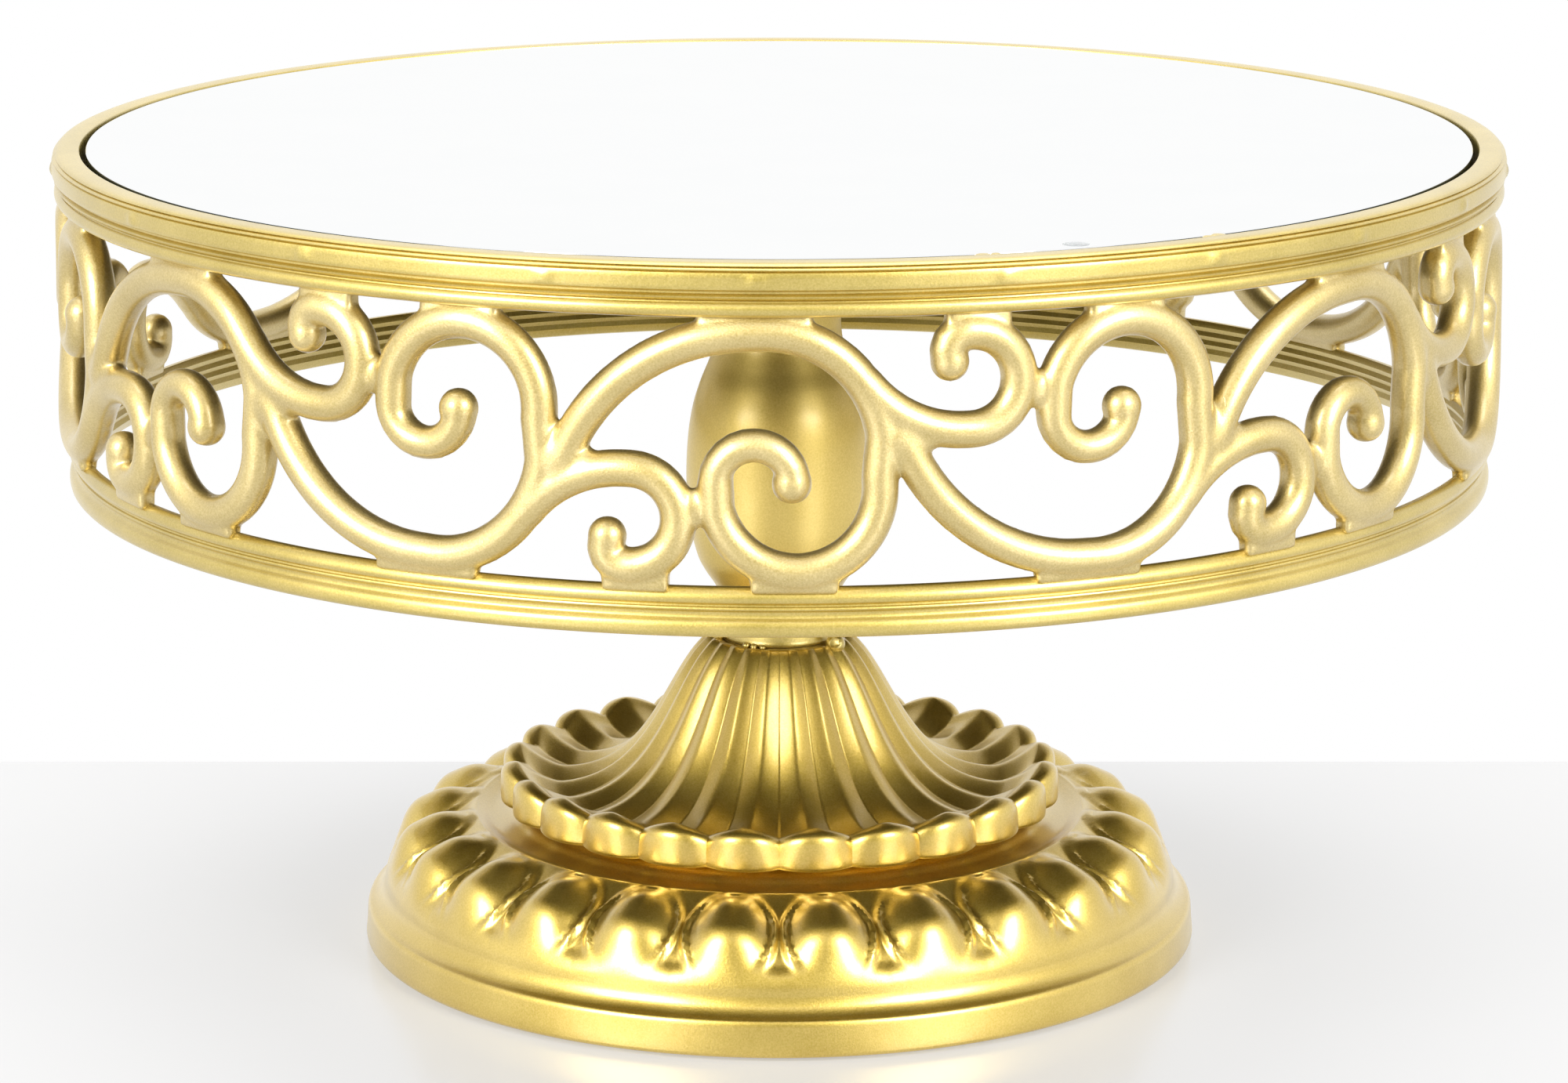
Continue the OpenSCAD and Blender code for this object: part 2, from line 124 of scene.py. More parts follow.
def turnedPiece(name, outline, steps, angle=40):  # closed outline of (radius, height), spun
    pickOnly()
    bpy.ops.mesh.primitive_plane_add(size=mm)
    piece = beginPiece(name)
    bpy.ops.mesh.merge(type="CENTER")
    drawn = [Vector((r, 0, z)) * mm for r, z in outline + outline[:1]]
    bpy.ops.transform.translate(value=drawn[0])
    for here, there in zip(drawn, drawn[1:]):
        bpy.ops.mesh.extrude_region_move(TRANSFORM_OT_translate={"value": there - here})
    bpy.ops.mesh.select_all(action="SELECT")
    bpy.ops.mesh.remove_doubles(threshold=0.001 * mm)
    bpy.ops.mesh.spin(steps=steps, angle=fullTurn, center=(0, 0, 0), axis=(0, 0, 1))
    closeUp(piece, angle)
    return piece


def smoothStep(low, high, value):
    t = min(max((value - low) / (high - low), 0), 1)
    return t * t * (3 - 2 * t)


rim = {
    "steps": 720, "smooth": 35, "bandR": 151.9,
    "bumpZ": 171.4, "bumpOut": 0.48, "bumpSpread": 2.2, "nibHigh": 0.28,
    "bumps": (-56, -36, -16.3, -1.4, 15.9, 32.6, 47, 63, 80, 97, 114, 131, 148, 165, 181, 197, 213, 229, 246,
              262, 279),
    "nibs": ((145.3, 15, 174.4, 1.6), (145.1, 16, 174.38, 1.1), (145.2, 34.6, 174.4, 1.7),
             (145.6, 33.6, 174.4, 1.2)),
}
rimOutline = (
    [(146.1, 164.4), (146.1, 166.4), (140.1, 166.4), (140.1, 168), (146.1, 168), (146.1, 174.3),
     (146.25, 174.6), (146.6, 174.7), (149.4, 174.7), (150.4, 174.62), (150.95, 174.42), (151.15, 174.2),
     (150.75, 174), (151.3, 173.86), (151.65, 173.65), (151.65, 173.45), (151.3, 173.25), (151.75, 173.05),
     (151.9, 172.6), (151.9, 172), (151.9, 171.4), (151.9, 170.8), (151.9, 170.3), (151.75, 169.92),
     (151.2, 169.65), (150.6, 169.4), (150.6, 169.05), (151.3, 168.8), (151.5, 168.6), (151.3, 168.25),
     (150.9, 167.92), (150.35, 167.6), (150.4, 167.35)]
    + arcPoints(150.1, 166.1, 1.5, 62, -62, 12) + [(150.1, 164.5), (149, 164.4)]
)
trayRim = turnedPiece("trayRim", rimOutline, rim["steps"], rim["smooth"])
setMode("EDIT")
for degrees in rim["bumps"]:  # stubs left by the casting gates
    bpy.ops.mesh.select_all(action="DESELECT")
    setMode("OBJECT")
    spot = around(rim["bandR"], degrees, rim["bumpZ"])
    nearest = min(trayRim.data.vertices, key=lambda v: (v.co - spot).length)
    nearest.select = True
    setMode("EDIT")
    bpy.ops.transform.translate(
        value=around(rim["bumpOut"], degrees, 0), use_proportional_edit=True,
        proportional_edit_falloff="SMOOTH", proportional_size=rim["bumpSpread"] * mm)
for radius, degrees, height, size in rim["nibs"]:  # drips of paint on the lip
    bpy.ops.mesh.primitive_ico_sphere_add(
        subdivisions=3, radius=size * mm, location=around(radius, degrees, height),
        scale=(1, 1, rim["nibHigh"] / size))
pickOnly(trayRim)
place(trayRim, "tray", "tray_rim", slot="gold_paint")
print("rim", len(trayRim.data.vertices))

ring = {
    "steps": 720, "smooth": 35,
    "outline": [
        (147.3, 105), (147.7, 104.3), (148.4, 104), (149.1, 104.05), (149.7, 104.3), (150.1, 104.75),
        (150.25, 105.4), (150.25, 106.2), (150.1, 106.9), (149.75, 107.35), (149.2, 107.6), (148.95, 108),
        (148.95, 108.7), (149.15, 109.05), (149.5, 109.25), (149.6, 109.5), (149.5, 109.75), (149.15, 109.9),
        (149.1, 110.2), (149.3, 110.5), (149.85, 110.75), (150.1, 111.2), (150.1, 111.7), (149.9, 112.3),
        (149.5, 112.8), (148.9, 113.4), (148.2, 113.6), (147.6, 113.5), (147.2, 113.05), (146.9, 112.2),
        (147.3, 111.2), (146.8, 110.2), (147.3, 109.2), (146.8, 108.2), (147.3, 107.2), (146.9, 106.1),
    ],
}
lowerRing = turnedPiece("lowerRing", ring["outline"], ring["steps"], ring["smooth"])
place(lowerRing, "tray", "lower_ring", slot="gold_paint")
print("lower ring", len(lowerRing.data.vertices))

scroll = {
    "bigLead": (-46.1, -7.7),
    "bigArcs": ((-5, -16.6, 38.9, 157, 90), (-2.6, 0, 22.4, 90, 8), (3.4, -6.9, 15.6, 8, -165),
                (-4.6, -6.1, 7.4, 170, 5)),
    "smallLead": (-50.7, -16.2),
    "smallArcs": ((-29.5, -27.5, 24, 142, 90), (-28, -12.7, 9.2, 90, -90), (-29, -18.1, 3.9, -100, -205)),
    "balls": ((2.4, -5.8, 3.5), (-32.4, -16.4, 3.4)),
    "webs": ((-42, -2.2, 6, 3.2, 5.8), (-40.8, 1.4, 3, 2.4, 3.2), (-37.8, -2.4, 4.2, 2.6, 2.4),
             (-15.5, -10.5, 3.6, 2.2, 3.4)),
    "pads": ((-15, 6, 22.6, 26.2), (-5, 11, -26.2, -22.6), (-33, -21, -26.2, -22.6)),
    "padDeep": 3, "firstPad": 25.9,
    "rod": 3.2, "flat": 0.86, "swell": 0.36, "leadShare": 0.6, "joinGap": 0.3, "spinRun": 110, "half": 64.55,
    "cut": (-40.5, 88.6), "cutSnap": 0.0001, "middle": 139, "voxel": 0.62, "ironing": 6, "rodRadius": 148.4,
    "tilt": 0.9, "frontSpan": 49.15, "frontCount": 4, "backCount": 3, "firstStart": -113.7,
}


def addStroke(arcs, shift, flip, lead):  # grows out of the rod that it leaves
    ended = Vector((lead[0] + shift, 0, flip * lead[1])) * mm
    started = False
    for x, z, radius, start, end in arcs:
        a, b = math.radians(start), math.radians(end)
        begins = Vector((x + radius * math.cos(a) + shift, 0, flip * (z + radius * math.sin(a)))) * mm
        if not started:
            started = True
            bpy.ops.mesh.select_all(action="DESELECT")
            bpy.ops.mesh.primitive_circle_add(
                vertices=16, radius=scroll["rod"] * scroll["leadShare"] * mm, rotation=(0, -a * flip, 0),
                scale=(1, scroll["flat"], 1), location=ended)
            bpy.ops.mesh.extrude_region_move(TRANSFORM_OT_translate={"value": begins - ended})
            grown = 1 / scroll["leadShare"]
            bpy.ops.transform.resize(value=(grown, grown, grown), center_override=begins)
        elif (begins - ended).length > scroll["joinGap"] * mm:
            bpy.ops.mesh.extrude_region_move(TRANSFORM_OT_translate={"value": begins - ended})
        ended = Vector((x + radius * math.cos(b) + shift, 0, flip * (z + radius * math.sin(b)))) * mm
        steps = max(4, round(abs(start - end) * radius / scroll["spinRun"]))
        bpy.ops.mesh.spin(
            steps=steps, angle=math.radians(start - end), center=Vector((x + shift, 0, flip * z)) * mm,
            axis=(0, -flip, 0), use_auto_merge=False)


def flatPanel(name):
    pickOnly()
    bpy.ops.mesh.primitive_cube_add(size=mm, location=(0, 0, scroll["firstPad"] * mm))
    piece = beginPiece(name)
    for k in range(-1, 3):
        shift = k * scroll["half"]
        flip = 1 if k % 2 == 0 else -1
        addStroke(scroll["bigArcs"], shift, flip, scroll["bigLead"])
        addStroke(scroll["smallArcs"], shift, flip, scroll["smallLead"])
        for x, z, size in scroll["balls"]:
            bpy.ops.mesh.primitive_uv_sphere_add(
                segments=20, ring_count=12, radius=size * mm, location=Vector((x + shift, 0, flip * z)) * mm)
        for x, z, wide, deep, high in scroll["webs"]:
            bpy.ops.mesh.primitive_uv_sphere_add(
                segments=16, ring_count=10, radius=mm, location=Vector((x + shift, 0, flip * z)) * mm,
                scale=(wide, deep, high))
        for left, right, low, high in scroll["pads"]:
            bpy.ops.mesh.primitive_cube_add(
                size=mm, location=Vector(((left + right) / 2 + shift, 0, flip * (low + high) / 2)) * mm,
                scale=(right - left, scroll["padDeep"], high - low))
    bpy.ops.mesh.select_all(action="DESELECT")
    bpy.ops.mesh.select_mode(type="EDGE")
    bpy.ops.mesh.select_non_manifold(extend=False)
    bpy.ops.mesh.fill_holes(sides=0)
    bpy.ops.mesh.select_mode(type="VERT")
    bpy.ops.mesh.select_all(action="SELECT")
    bpy.ops.mesh.normals_make_consistent(inside=False)
    setMode("OBJECT")
    applyModifier(piece, "REMESH", mode="VOXEL", voxel_size=scroll["voxel"] * mm)
    applyModifier(piece, "SMOOTH", factor=0.5, iterations=scroll["ironing"])
    applyModifier(piece, "DISPLACE", strength=scroll["swell"] * mm, mid_level=0)
    setMode("EDIT")
    for x, side in zip(scroll["cut"], (-1, 1)):
        bpy.ops.mesh.select_all(action="SELECT")
        bpy.ops.mesh.bisect(
            plane_co=(x * mm, 0, 0), plane_no=(side, 0, 0), use_fill=True, clear_outer=True,
            threshold=scroll["cutSnap"] * mm)
    setMode("OBJECT")
    return piece


def bentPanel(flat, name, span):
    piece = copyPiece(flat, name)
    low, high = scroll["cut"]
    radius = (high - low) / math.radians(span)
    piece.rotation_euler = (-math.radians(scroll["tilt"]), 0, 0)
    piece.location = (0, (radius - scroll["rodRadius"]) * mm, 0)
    bpy.ops.object.transform_apply(location=True, rotation=True, scale=True)
    applyModifier(piece, "SIMPLE_DEFORM", deform_method="BEND", deform_axis="Z", angle=math.radians(span))
    piece.location = (0, -radius * mm, scroll["middle"] * mm)
    bpy.ops.object.transform_apply(location=True, rotation=True, scale=True)
    return piece, math.degrees(low / radius)


panelFlat = flatPanel("panelFlat")
frontTurn = scroll["frontCount"] * scroll["frontSpan"]
backSpan = (360 - frontTurn) / scroll["backCount"]
scrollPanels = []
for base, span, first, count in (
        (1, scroll["frontSpan"], scroll["firstStart"], scroll["frontCount"]),
        (1 + scroll["frontCount"], backSpan, scroll["firstStart"] + frontTurn, scroll["backCount"])):
    bent, begins = bentPanel(panelFlat, "panelBent", span)
    for k in range(count):
        piece = copyPiece(bent, f"scrollPanel{base + k}")
        turnPiece(piece, first + k * span - begins)
        closeUp(piece, 60)
        place(piece, "tray", f"scroll_panel_{base + k}", slot="gold_paint")
        scrollPanels.append(piece)
    bpy.data.objects.remove(bent, do_unlink=True)
bpy.data.objects.remove(panelFlat, do_unlink=True)
print("scroll panels", len(scrollPanels), len(scrollPanels[0].data.vertices))

mirror = {"steps": 360, "radius": 144.9, "low": 170.6, "high": 174.62, "bevel": 0.35}
pickOnly()
bpy.ops.mesh.primitive_cylinder_add(
    vertices=mirror["steps"], radius=mirror["radius"] * mm, depth=(mirror["high"] - mirror["low"]) * mm,
    location=(0, 0, (mirror["high"] + mirror["low"]) / 2 * mm))
mirrorPlate = beginPiece("mirrorPlate")
bpy.ops.mesh.select_mode(type="EDGE")
bpy.ops.mesh.select_all(action="DESELECT")
bpy.ops.mesh.edges_select_sharp(sharpness=math.radians(60))
bpy.ops.mesh.bevel(offset=mirror["bevel"] * mm, segments=3, affect="EDGES")
closeUp(mirrorPlate, 12)
place(mirrorPlate, "mirror", "mirror_plate", slot="mirror")

dot = {"degrees": 23, "centre": 141.3, "radius": 2.9, "low": 174.55, "high": 174.7, "cutSnap": 0.0001}
pickOnly()
bpy.ops.mesh.primitive_uv_sphere_add(segments=48, ring_count=17, radius=mm)
clearDot = beginPiece("clearDot")
bpy.ops.transform.resize(value=(dot["radius"], dot["radius"], dot["high"] - dot["low"]))
bpy.ops.transform.translate(value=around(dot["centre"], dot["degrees"], dot["low"]))
bpy.ops.mesh.bisect(
    plane_co=(0, 0, dot["low"] * mm), plane_no=(0, 0, -1), use_fill=True, clear_outer=True,
    threshold=dot["cutSnap"] * mm)  # finer than the flat cap
closeUp(clearDot, 50)
place(clearDot, "mirror", "clear_bumper", slot="clear")
print("mirror and dot")

stem = {
    "bulb": ((12.9, 75.5), (14.1, 78), (16.1, 81), (17.7, 84.4), (19.2, 91), (19.9, 100), (19.6, 109),
             (18.6, 116), (16.9, 121.7), (14.9, 126.6), (13.6, 130.6), (13.1, 134.5)),
    "bore": [(5.2, 134.5), (5.2, 75.5)], "perSpan": 6, "bulbSteps": 160,
    "collar": [(11, 30.6), (12.1, 30.6), (12.1, 65.9), (12.35, 66.2), (12.4, 66.6), (12.2, 66.9),
               (12.1, 67.3), (12.1, 75.5), (11, 75.5)], "collarSteps": 120,
}
bulbOutline = smoothThrough(stem["bulb"], stem["perSpan"]) + stem["bore"]
stemBulb = turnedPiece("stemBulb", bulbOutline, stem["bulbSteps"], 50)
place(stemBulb, "stand", "stem_bulb", slot="gold_satin")
stemCollar = turnedPiece("stemCollar", stem["collar"], stem["collarSteps"], 30)
place(stemCollar, "stand", "stem_collar", slot="gold_paint")
print("bulb and collar")

weld = {
    "blob": (15, 53, 66.2, 2.1),
    "beads": ((13.4, -76, 66.4, 1.2), (13, -33, 66.3, 0.8), (13, -25, 66.2, 0.75), (13, -16, 66.2, 0.65)),
    "pit": 1.1, "pitTurn": -8, "pitOut": 0.7, "pitUp": 0.5, "pitSink": 0.4,
}
pickOnly()
blobR, blobTurn, blobZ, blobSize = weld["blob"]
bpy.ops.mesh.primitive_ico_sphere_add(
    subdivisions=4, radius=blobSize * mm, location=around(blobR, blobTurn, blobZ))
weldBlob = beginPiece("weldBlob")
for radius, degrees, height, size in weld["beads"]:
    bpy.ops.mesh.primitive_ico_sphere_add(
        subdivisions=3, radius=size * mm, location=around(radius, degrees, height))
bpy.ops.mesh.select_all(action="DESELECT")
setMode("OBJECT")
pitTurn = blobTurn + weld["pitTurn"]
pitSpot = around(blobR + blobSize * weld["pitOut"], pitTurn, blobZ + blobSize * weld["pitUp"])
nearest = min(weldBlob.data.vertices, key=lambda v: (v.co - pitSpot).length)
nearest.select = True
setMode("EDIT")
bpy.ops.transform.translate(
    value=around(-weld["pit"], pitTurn, -weld["pitSink"]), use_proportional_edit=True,
    proportional_edit_falloff="SPHERE", proportional_size=weld["pit"] * mm)
closeUp(weldBlob, 60)
place(weldBlob, "stand", "tack_weld", slot="gold_paint")
print("weld")

trumpet = {  # rows of (crest, valley), each a radius and a height
    "lobes": 24, "columns": 24, "perRow": 3,
    "crestPull": ((15.6, 66.1), (25.2, 57.8), (27.7, 36.0), (47, 34.8)),
    "flutes": 9, "depthTop": 0.7, "depthLow": 1.9, "leanTop": 18, "leanGain": 70, "leanPace": 1.25,
    "mouth": (((12.4, 62), (12.4, 62)), ((12.4, 65.2), (12.4, 65.1)), ((12.9, 65.9), (12.8, 65.7)),
              ((14.2, 66.2), (13.9, 65.9))),
    "lip": (((50.6, 35.7), (50.2, 33.7)), ((53.9, 37.4), (52.6, 34.9)), ((56.4, 39.2), (54.6, 36.6)),
            ((57.2, 39.5), (55.3, 36.9)), ((58.0, 39.4), (55.9, 36.95)), ((59.2, 38.95), (56.8, 36.8)),
            ((60.1, 38.1), (57.5, 36.3)), ((60.5, 36.8), (57.9, 35.4)), ((60.6, 34.5), (58.2, 34.0)),
            ((60.55, 32), (58.4, 32)), ((60.3, 31.0), (58.2, 31.0))),
    "under": (((59.4, 30.85), (57.2, 30.95)), ((55, 32.2), (55, 32.2)), ((51, 30.45), (51, 30.45)),
              ((40, 30.45), (40, 30.45)), ((31, 33), (31, 33)), ((21, 43), (21, 43)),
              ((14.2, 55), (14.2, 55)), ((12.4, 62), (12.4, 62))),
    "soft": 0.11, "flutePower": 1.15, "lipGain": 1.1, "lipRows": 4, "lipBlend": (-2, 8),
}


def flutedRows():
    a, b, c, d = trumpet["crestPull"]
    rows = list(trumpet["mouth"])
    for i in range(trumpet["flutes"] + 1):
        t = i / trumpet["flutes"]
        weights = ((1 - t) ** 3, 3 * t * (1 - t) ** 2, 3 * t * t * (1 - t), t ** 3)
        r, z = (sum(w * p[k] for w, p in zip(weights, (a, b, c, d))) for k in (0, 1))
        lean = trumpet["leanTop"] + trumpet["leanGain"] * min(t * trumpet["leanPace"], 1)
        lean = math.radians(lean)  # way that the surface faces
        deep = trumpet["depthTop"] + (trumpet["depthLow"] - trumpet["depthTop"]) * t
        rows.append(((r, z), (r - deep * math.cos(lean), z - deep * math.sin(lean))))
    return rows + list(trumpet["lip"]) + list(trumpet["under"])


def lobeShare(u, power):  # 1 on the crest, 0 where two lobes meet
    soft = trumpet["soft"]
    least = soft ** power
    return 1 - ((u * u + soft * soft) ** (power / 2) - least) / ((1 + soft * soft) ** (power / 2) - least)


def lobedSector(name, columns, rows, surface):  # grid laid on one lobe, then copied round and joined
    pickOnly()
    bpy.ops.mesh.primitive_grid_add(x_subdivisions=columns, y_subdivisions=rows, size=2)
    piece = beginPiece(name)
    setMode("OBJECT")
    for vertex in piece.data.vertices:
        r, z, degrees = surface(vertex.co.x, (vertex.co.y + 1) / 2)
        vertex.co = around(r, degrees, z)
    setMode("EDIT")
    bpy.ops.mesh.select_all(action="SELECT")
    lobes = trumpet["lobes"]
    bpy.ops.mesh.spin(
        steps=lobes - 1, angle=fullTurn * (lobes - 1) / lobes, center=(0, 0, 0), axis=(0, 0, 1), dupli=True)
    closeUp(piece, 50)
    return piece


trumpetLine = smoothThrough([tuple(crest) + tuple(low) for crest, low in flutedRows()], trumpet["perRow"])
fluteEnd = (len(trumpet["mouth"]) + trumpet["flutes"]) * trumpet["perRow"]
lipEnd = fluteEnd + trumpet["lipRows"] * trumpet["perRow"]


def trumpetSurface(u, v):
    row = round(v * (len(trumpetLine) - 1))
    crestR, crestZ, lowR, lowZ = trumpetLine[row]
    before, after = trumpet["lipBlend"]
    power = trumpet["flutePower"] + trumpet["lipGain"] * smoothStep(lipEnd + before, lipEnd + after, row)
    share = lobeShare(u, power)
    half = 180 / trumpet["lobes"]
    return lowR + (crestR - lowR) * share, lowZ + (crestZ - lowZ) * share, half * (1 + u)


baseTrumpet = lobedSector("baseTrumpet", trumpet["columns"], len(trumpetLine) - 1, trumpetSurface)
place(baseTrumpet, "stand", "base_trumpet", slot="gold_paint")
print("trumpet", len(baseTrumpet.data.vertices))

dome = {
    "columns": 34, "perRow": 6, "crowd": 0.34,
    "ground": ((50, 30.4), (55.6, 28.9), (58.6, 27.3), (62.2, 26.9), (65, 27.9), (66.5, 28), (71.2, 25.3),
               (75.2, 23.8), (78.4, 22.3), (80.8, 20.4), (82.6, 18.4), (83.9, 16.5), (84.8, 14.8),
               (85.4, 13.5), (85.7, 12.6)),
    "crest": ((50, 30.4), (57.2, 30.0), (62.0, 30.2), (66.2, 30.5), (68.6, 30.4), (70.4, 30.1), (74.6, 28.8),
              (78.2, 27.1), (80.8, 25.6), (82.7, 23.2), (84.0, 20), (84.9, 17.2), (85.4, 15), (85.6, 13.6),
              (85.7, 12.6)),
    "foot": ((85.85, 11.9), (86.05, 11.25), (86.35, 10.65), (86.75, 10.1), (87.25, 9.6), (87.75, 9.2),
             (88.2, 8.92), (88.6, 8.78), (88.95, 8.6), (89.22, 8.3), (89.4, 7.85), (89.5, 7.3), (89.7, 4),
             (89.92, 1.9), (89.8, 1.35), (89.45, 0.95), (88.8, 0.75), (87, 0.7), (86.7, 0)),
    "inside": ((86.2, 0), (86.2, 5), (83, 9), (79, 17), (73, 22), (62, 25), (46, 28.3), (16, 28.3),
               (6, 28.3), (6, 30.4), (16, 30.4), (50, 30.4)),
    "middle": 28.05, "above": 11.5, "below": 15.2, "wide": 0.98,
    "eggWide": 0.85, "eggLong": 0.86, "soften": 0.05,
    "bandShare": 0.33, "bandGrow": 0.5, "bandFade": (0.45, 0.95), "bandAt": 0.925, "bandHalf": 0.105,
    "bandPower": 1.3, "skirtFrom": 34.5, "skirtTo": 42, "skirtSag": 2,
    "ironing": 4, "ironLow": 12.8, "ironIn": 67, "ironOut": 85.7, "ironFacing": -0.1,
}


def measured(points):
    lengths = [0]
    for a, b in zip(points, points[1:]):
        lengths.append(lengths[-1] + math.dist(a[:2], b[:2]))
    return lengths


domeLine = smoothThrough([a + b for a, b in zip(dome["ground"], dome["crest"])], dome["perRow"])
domeLengths = measured(domeLine)
domeLine += [p + p for p in dome["foot"] + dome["inside"]]


def eggShare(u, s):  # 0 on the ground, 1 on the crest of an egg
    along = (s - dome["middle"]) / (dome["above"] if s < dome["middle"] else dome["below"])
    across = math.sqrt(max(1 - along * along, 0.0004)) * dome["wide"]
    egg = max(1 - (u / (dome["eggWide"] * across)) ** 2, 0)
    egg *= math.sqrt(max(1 - (along / dome["eggLong"]) ** 4, 0))
    rho = math.hypot(u / dome["wide"], along)
    band = dome["bandShare"] * (1 + dome["bandGrow"] * smoothStep(0, 0.5, along))
    band *= 1 - smoothStep(*dome["bandFade"], along)
    band *= max(1 - ((rho - dome["bandAt"]) / dome["bandHalf"]) ** 2, 0) ** dome["bandPower"]
    raised = (egg + band + math.hypot(egg - band, dome["soften"]) - dome["soften"]) / 2  # soft maximum
    skirt = smoothStep(dome["skirtFrom"] + dome["skirtSag"] * u * u, dome["skirtTo"], s)
    return raised * (1 - skirt) + skirt


def domeSurface(u, v):
    u *= 1 + dome["crowd"] - dome["crowd"] * u * u  # columns crowd where two eggs meet
    row = round(v * (len(domeLine) - 1))
    groundR, groundZ, crestR, crestZ = domeLine[row]
    share = eggShare(u, domeLengths[row]) if row < len(domeLengths) else 0
    half = 180 / trumpet["lobes"]
    return groundR + (crestR - groundR) * share, groundZ + (crestZ - groundZ) * share, half * (1 + u)


baseDome = lobedSector("baseDome", dome["columns"], len(domeLine) - 1, domeSurface)
eggs = baseDome.vertex_groups.new(name="eggs")
for vertex in baseDome.data.vertices:
    r = math.hypot(vertex.co.x, vertex.co.y)
    onEggs = vertex.co.z > dome["ironLow"] * mm and dome["ironIn"] * mm < r < dome["ironOut"] * mm
    if onEggs and vertex.normal.z > dome["ironFacing"]:
        eggs.add([vertex.index], 1, "REPLACE")
applyModifier(baseDome, "SMOOTH", factor=0.5, iterations=dome["ironing"], vertex_group="eggs")
place(baseDome, "stand", "base_dome", slot="gold_paint")
print("dome", len(baseDome.data.vertices))

# Materials


def shaderGroup(name, inputs, outputs):
    group = bpy.data.node_groups.new(name, "ShaderNodeTree")
    for socketName, socketType, value in inputs:
        group.interface.new_socket(socketName, in_out="INPUT", socket_type=socketType).default_value = value
    for socketName, socketType in outputs:
        group.interface.new_socket(socketName, in_out="OUTPUT", socket_type=socketType)
    return group, group.nodes.new("NodeGroupInput"), group.nodes.new("NodeGroupOutput")


def addNode(tree, kind, values=None, **settings):
    node = tree.nodes.new(kind)
    for key, value in settings.items():
        setattr(node, key, value)
    for key, value in (values or {}).items():
        node.inputs[key].default_value = value
    return node


def join(tree, *pairs):
    for source, target in pairs:
        tree.links.new(source, target)


paintLook = {
    "fine": 2600.0, "broad": 60.0, "broadShare": 0.45, "bumpHigh": 0.0001, "toneLow": 0.32, "toneHigh": 0.68,
    "roughSpread": 0.08, "coatRough": 0.24, "coatIor": 1.8,
}

# Fine grain of sprayed metal paint: a tone from 0 to 1 and a bumped normal
grainGroup, grainIn, grainOut = shaderGroup(
    "paintGrain", (("bump", "NodeSocketFloat", 0.1),),
    (("tone", "NodeSocketFloat"), ("normal", "NodeSocketVector")))
where = addNode(grainGroup, "ShaderNodeTexCoord")
fine = addNode(
    grainGroup, "ShaderNodeTexNoise", {"Scale": paintLook["fine"], "Detail": 2.0, "Roughness": 0.6})
broad = addNode(
    grainGroup, "ShaderNodeTexNoise", {"Scale": paintLook["broad"], "Detail": 4.0, "Roughness": 0.55})
mixTone = addNode(grainGroup, "ShaderNodeMix", {"Factor": paintLook["broadShare"]}, data_type="FLOAT")
bumpFine = addNode(grainGroup, "ShaderNodeBump", {"Distance": paintLook["bumpHigh"]})
join(grainGroup,
     (where.outputs["Object"], fine.inputs["Vector"]), (where.outputs["Object"], broad.inputs["Vector"]),
     (fine.outputs["Fac"], mixTone.inputs["A"]), (broad.outputs["Fac"], mixTone.inputs["B"]),
     (grainIn.outputs["bump"], bumpFine.inputs["Strength"]),
     (fine.outputs["Fac"], bumpFine.inputs["Height"]),
     (mixTone.outputs["Result"], grainOut.inputs["tone"]),
     (bumpFine.outputs["Normal"], grainOut.inputs["normal"]))


def newMaterial(name):
    material = bpy.data.materials.new(name)
    material.use_nodes = True
    tree = material.node_tree
    return material, tree, tree.nodes["Principled BSDF"]


def metalMaterial(name, dark, light, roughness, bump, coat=0.0):
    material, tree, shader = newMaterial(name)
    grain = addNode(tree, "ShaderNodeGroup", node_tree=grainGroup)
    grain.inputs["bump"].default_value = bump
    tint = addNode(tree, "ShaderNodeMix", data_type="RGBA")
    tint.inputs["A"].default_value = (*dark, 1)
    tint.inputs["B"].default_value = (*light, 1)
    contrast = addNode(
        tree, "ShaderNodeMapRange", {"From Min": paintLook["toneLow"], "From Max": paintLook["toneHigh"]})
    spread = paintLook["roughSpread"]
    rough = addNode(tree, "ShaderNodeMapRange", {"To Min": roughness - spread, "To Max": roughness + spread})
    shader.inputs["Metallic"].default_value = 1.0
    shader.inputs["Coat Weight"].default_value = coat
    shader.inputs["Coat Roughness"].default_value = paintLook["coatRough"]
    shader.inputs["Coat IOR"].default_value = paintLook["coatIor"]
    join(tree,
         (grain.outputs["tone"], contrast.inputs["Value"]),
         (contrast.outputs["Result"], tint.inputs["Factor"]),
         (tint.outputs["Result"], shader.inputs["Base Color"]),
         (grain.outputs["tone"], rough.inputs["Value"]),
         (rough.outputs["Result"], shader.inputs["Roughness"]),
         (grain.outputs["normal"], shader.inputs["Normal"]))
    return material


goldPaint = metalMaterial("goldPaint", (0.52, 0.39, 0.065), (0.71, 0.555, 0.16), 0.44, bump=0.42, coat=0.9)
goldScroll = metalMaterial("goldScroll", (0.53, 0.40, 0.12), (0.75, 0.61, 0.28), 0.48, bump=0.55, coat=0.8)
goldBase = metalMaterial("goldBase", (0.60, 0.415, 0.045), (0.79, 0.585, 0.13), 0.38, bump=0.34, coat=1.0)
goldSatin = metalMaterial("goldSatin", (0.66, 0.48, 0.10), (0.84, 0.65, 0.19), 0.46, bump=0.16, coat=0.5)
# Near-black metal for the pan's underside: painted shade standing in for the shadow under the tray, on top
# of whatever dark finish the underside has
panPaintedShade = metalMaterial("panPaintedShade", (0.03, 0.02, 0.004), (0.05, 0.034, 0.008), 0.5, bump=0.2)
zincSteel = metalMaterial("zincSteel", (0.50, 0.51, 0.52), (0.66, 0.67, 0.68), 0.33, bump=0.12)


